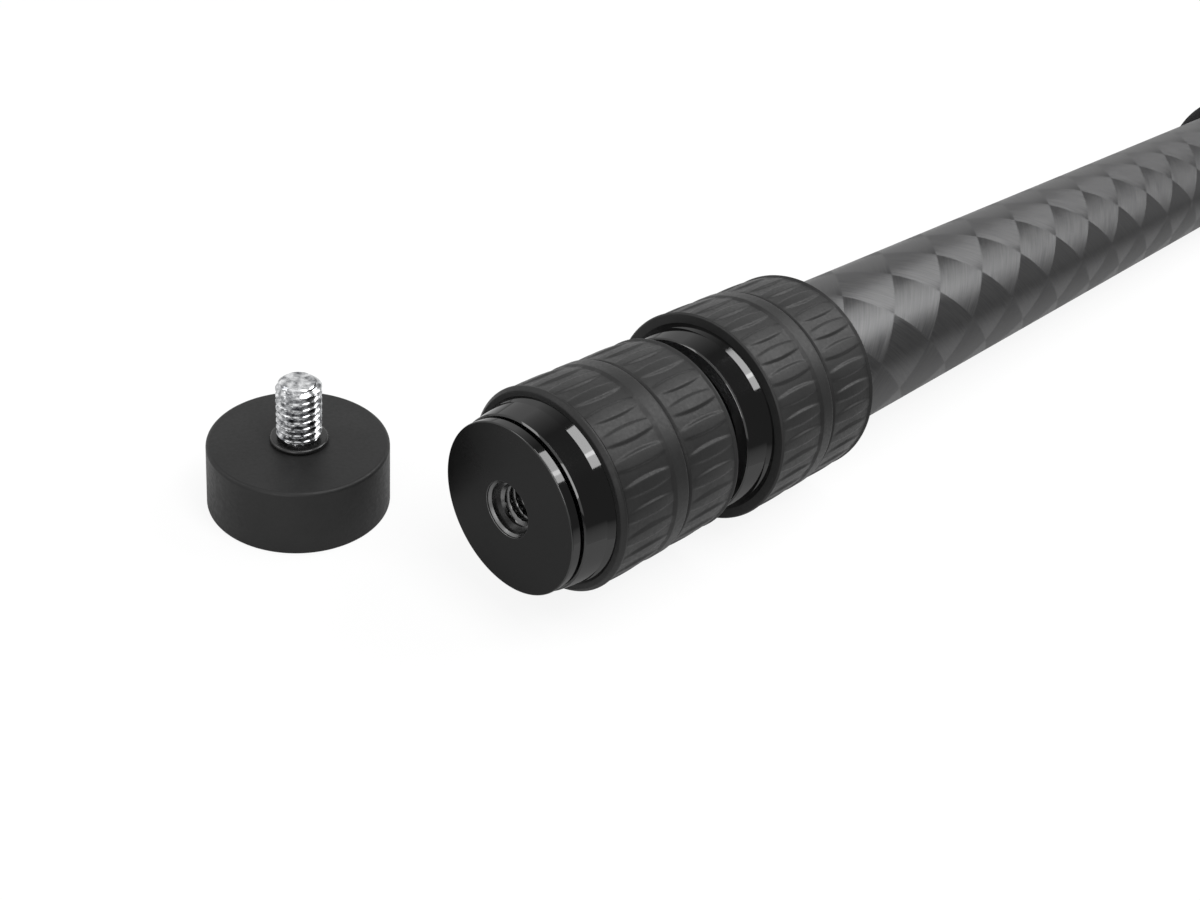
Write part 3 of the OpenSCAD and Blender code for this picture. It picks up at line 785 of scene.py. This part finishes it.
def dress():
    """Makes each detailed piece, hides the node that it stands for, and gives the other nodes a finish."""
    for make, node, body, material, slot in DRESSED:
        piece = make()
        if not piece.data.materials:
            piece.data.materials.append(material)
        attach(piece, body)
        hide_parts(node)
        shading = piece.modifiers.new("flat faces shaded flat", "WEIGHTED_NORMAL")
        shading.keep_sharp = True
    for material, nodes in KEPT.items():
        for node in nodes:
            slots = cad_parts[node].material_slots
            for k in range(len(slots)):
                slots[k].material = material


def softbox(name, toward, distance, size, radiance):
    """Rectangular lamp in a direction from the pole's lower end, facing it, its width square to the pole. Its
    power is radiance times pi times its area."""
    lamp = bpy.data.lights.new(name, "AREA")
    lamp.shape = "RECTANGLE"
    lamp.size, lamp.size_y = size
    lamp.energy = radiance * math.pi * size[0] * size[1]
    holder = bpy.data.objects.new(name, lamp)
    away = Vector(toward).normalized()
    across = Vector((0, 1, 0)).cross(away).normalized()
    turn = Matrix((across, away.cross(across), away)).transposed().to_4x4()
    holder.matrix_world = Matrix.Translation(away * distance) @ turn
    holder.visible_camera = False
    bpy.context.scene.collection.objects.link(holder)


def sheet(name, corners, make_surface):
    """One flat rectangle of the studio, in metres, with its own material."""
    plane = solid(name, np.array(corners, float) / MM, np.array([(0, 1, 2, 3)]), np.zeros((0, 3), int))
    material = bpy.data.materials.new(name)
    material.use_nodes = True
    material.cycles.emission_sampling = "NONE"
    tree = material.node_tree
    tree.nodes.clear()
    add(tree, "OutputMaterial", {"Surface": make_surface(tree)}, None)
    plane.data.materials.append(material)
    return plane


def mirrored(tree):
    """1 where gloss or glass shows a surface, and 0 elsewhere."""
    path = add(tree, "LightPath", output=None).outputs
    return add(tree, "Math", {0: path["Is Glossy Ray"], 1: path["Is Transmission Ray"]}, operation="MAXIMUM")


def white_paper(tree):
    """White paper: it glows to the eye and less in gloss, and keeps a soft shadow."""
    seen = add(tree, "LightPath", output="Is Camera Ray")
    shine = add(tree, "Math", {0: mirrored(tree), 1: GLOSS_GLOW}, operation="MULTIPLY")
    gloss = add(tree, "Emission", {"Strength": shine})
    lit = add(tree, "AddShader", {0: add(tree, "BsdfDiffuse", {"Color": linear(PAPER)}), 1: gloss})
    shadowed = add(tree, "BsdfDiffuse", {"Color": (1 - FLOOR_GLOW, 1 - FLOOR_GLOW, 1 - FLOOR_GLOW, 1)})
    glow = add(tree, "Emission", {"Strength": FLOOR_GLOW})
    return add(tree, "MixShader", {0: seen, 1: lit, 2: add(tree, "AddShader", {0: shadowed, 1: glow})})


def dark_card(tree, glow, fade):
    """Dark card, which only gloss sees: it starts at a glow and fades along X to CARD_GLOW."""
    x = add(tree, "SeparateXYZ", {0: add(tree, "TexCoord", output="Object")})
    shine = add(tree, "MapRange", {0: x, 1: fade[0], 2: fade[1], 3: glow, 4: CARD_GLOW})
    return add(tree, "Emission", {"Strength": shine})


def studio():
    """White paper under the pole, white surroundings, softboxes, and dark cards that shape the gloss."""
    half = FLOOR_SIZE / 2
    corners = [(-half, -half, FLOOR_Z), (half, -half, FLOOR_Z), (half, half, FLOOR_Z), (-half, half, FLOOR_Z)]
    sheet("white paper", corners, white_paper)
    for name, corners, glow, fade in CARDS:
        card = sheet(name, corners, lambda tree: dark_card(tree, glow, fade))
        card.visible_camera = card.visible_diffuse = card.visible_shadow = False
    world = bpy.data.worlds.new("studio")
    bpy.context.scene.world = world
    world.use_nodes = True
    world.cycles.sampling_method = "NONE"
    tree = world.node_tree
    eye = add(tree, "Math", {0: mirrored(tree), 1: add(tree, "LightPath", output="Is Camera Ray")},
              operation="MAXIMUM")
    shown = add(tree, "MapRange", {0: eye, 3: SKY_DIFFUSE})
    sky = tree.nodes["Background"]
    sky.inputs["Color"].default_value = (1, 1, 1, 1)
    tree.links.new(shown, sky.inputs["Strength"])
    for lamp in LAMPS:
        softbox(*lamp)


def camera():
    """Camera at the photograph's place."""
    lens = bpy.data.cameras.new("camera")
    lens.sensor_width = SENSOR
    lens.lens = LENS
    lens.clip_start = 0.01
    holder = bpy.data.objects.new("camera", lens)
    heading, pitch, roll = (math.radians(angle) for angle in CAMERA_TURNS)
    holder.matrix_world = (Matrix.Translation(CAMERA_PLACE) @ Matrix.Rotation(heading, 4, "Z")
                           @ Matrix.Rotation(math.pi / 2 - pitch, 4, "X") @ Matrix.Rotation(roll, 4, "Z"))
    bpy.context.scene.collection.objects.link(holder)
    bpy.context.scene.camera = holder


camera()
dress()
studio()
bpy.context.scene.view_settings.view_transform = "Standard"
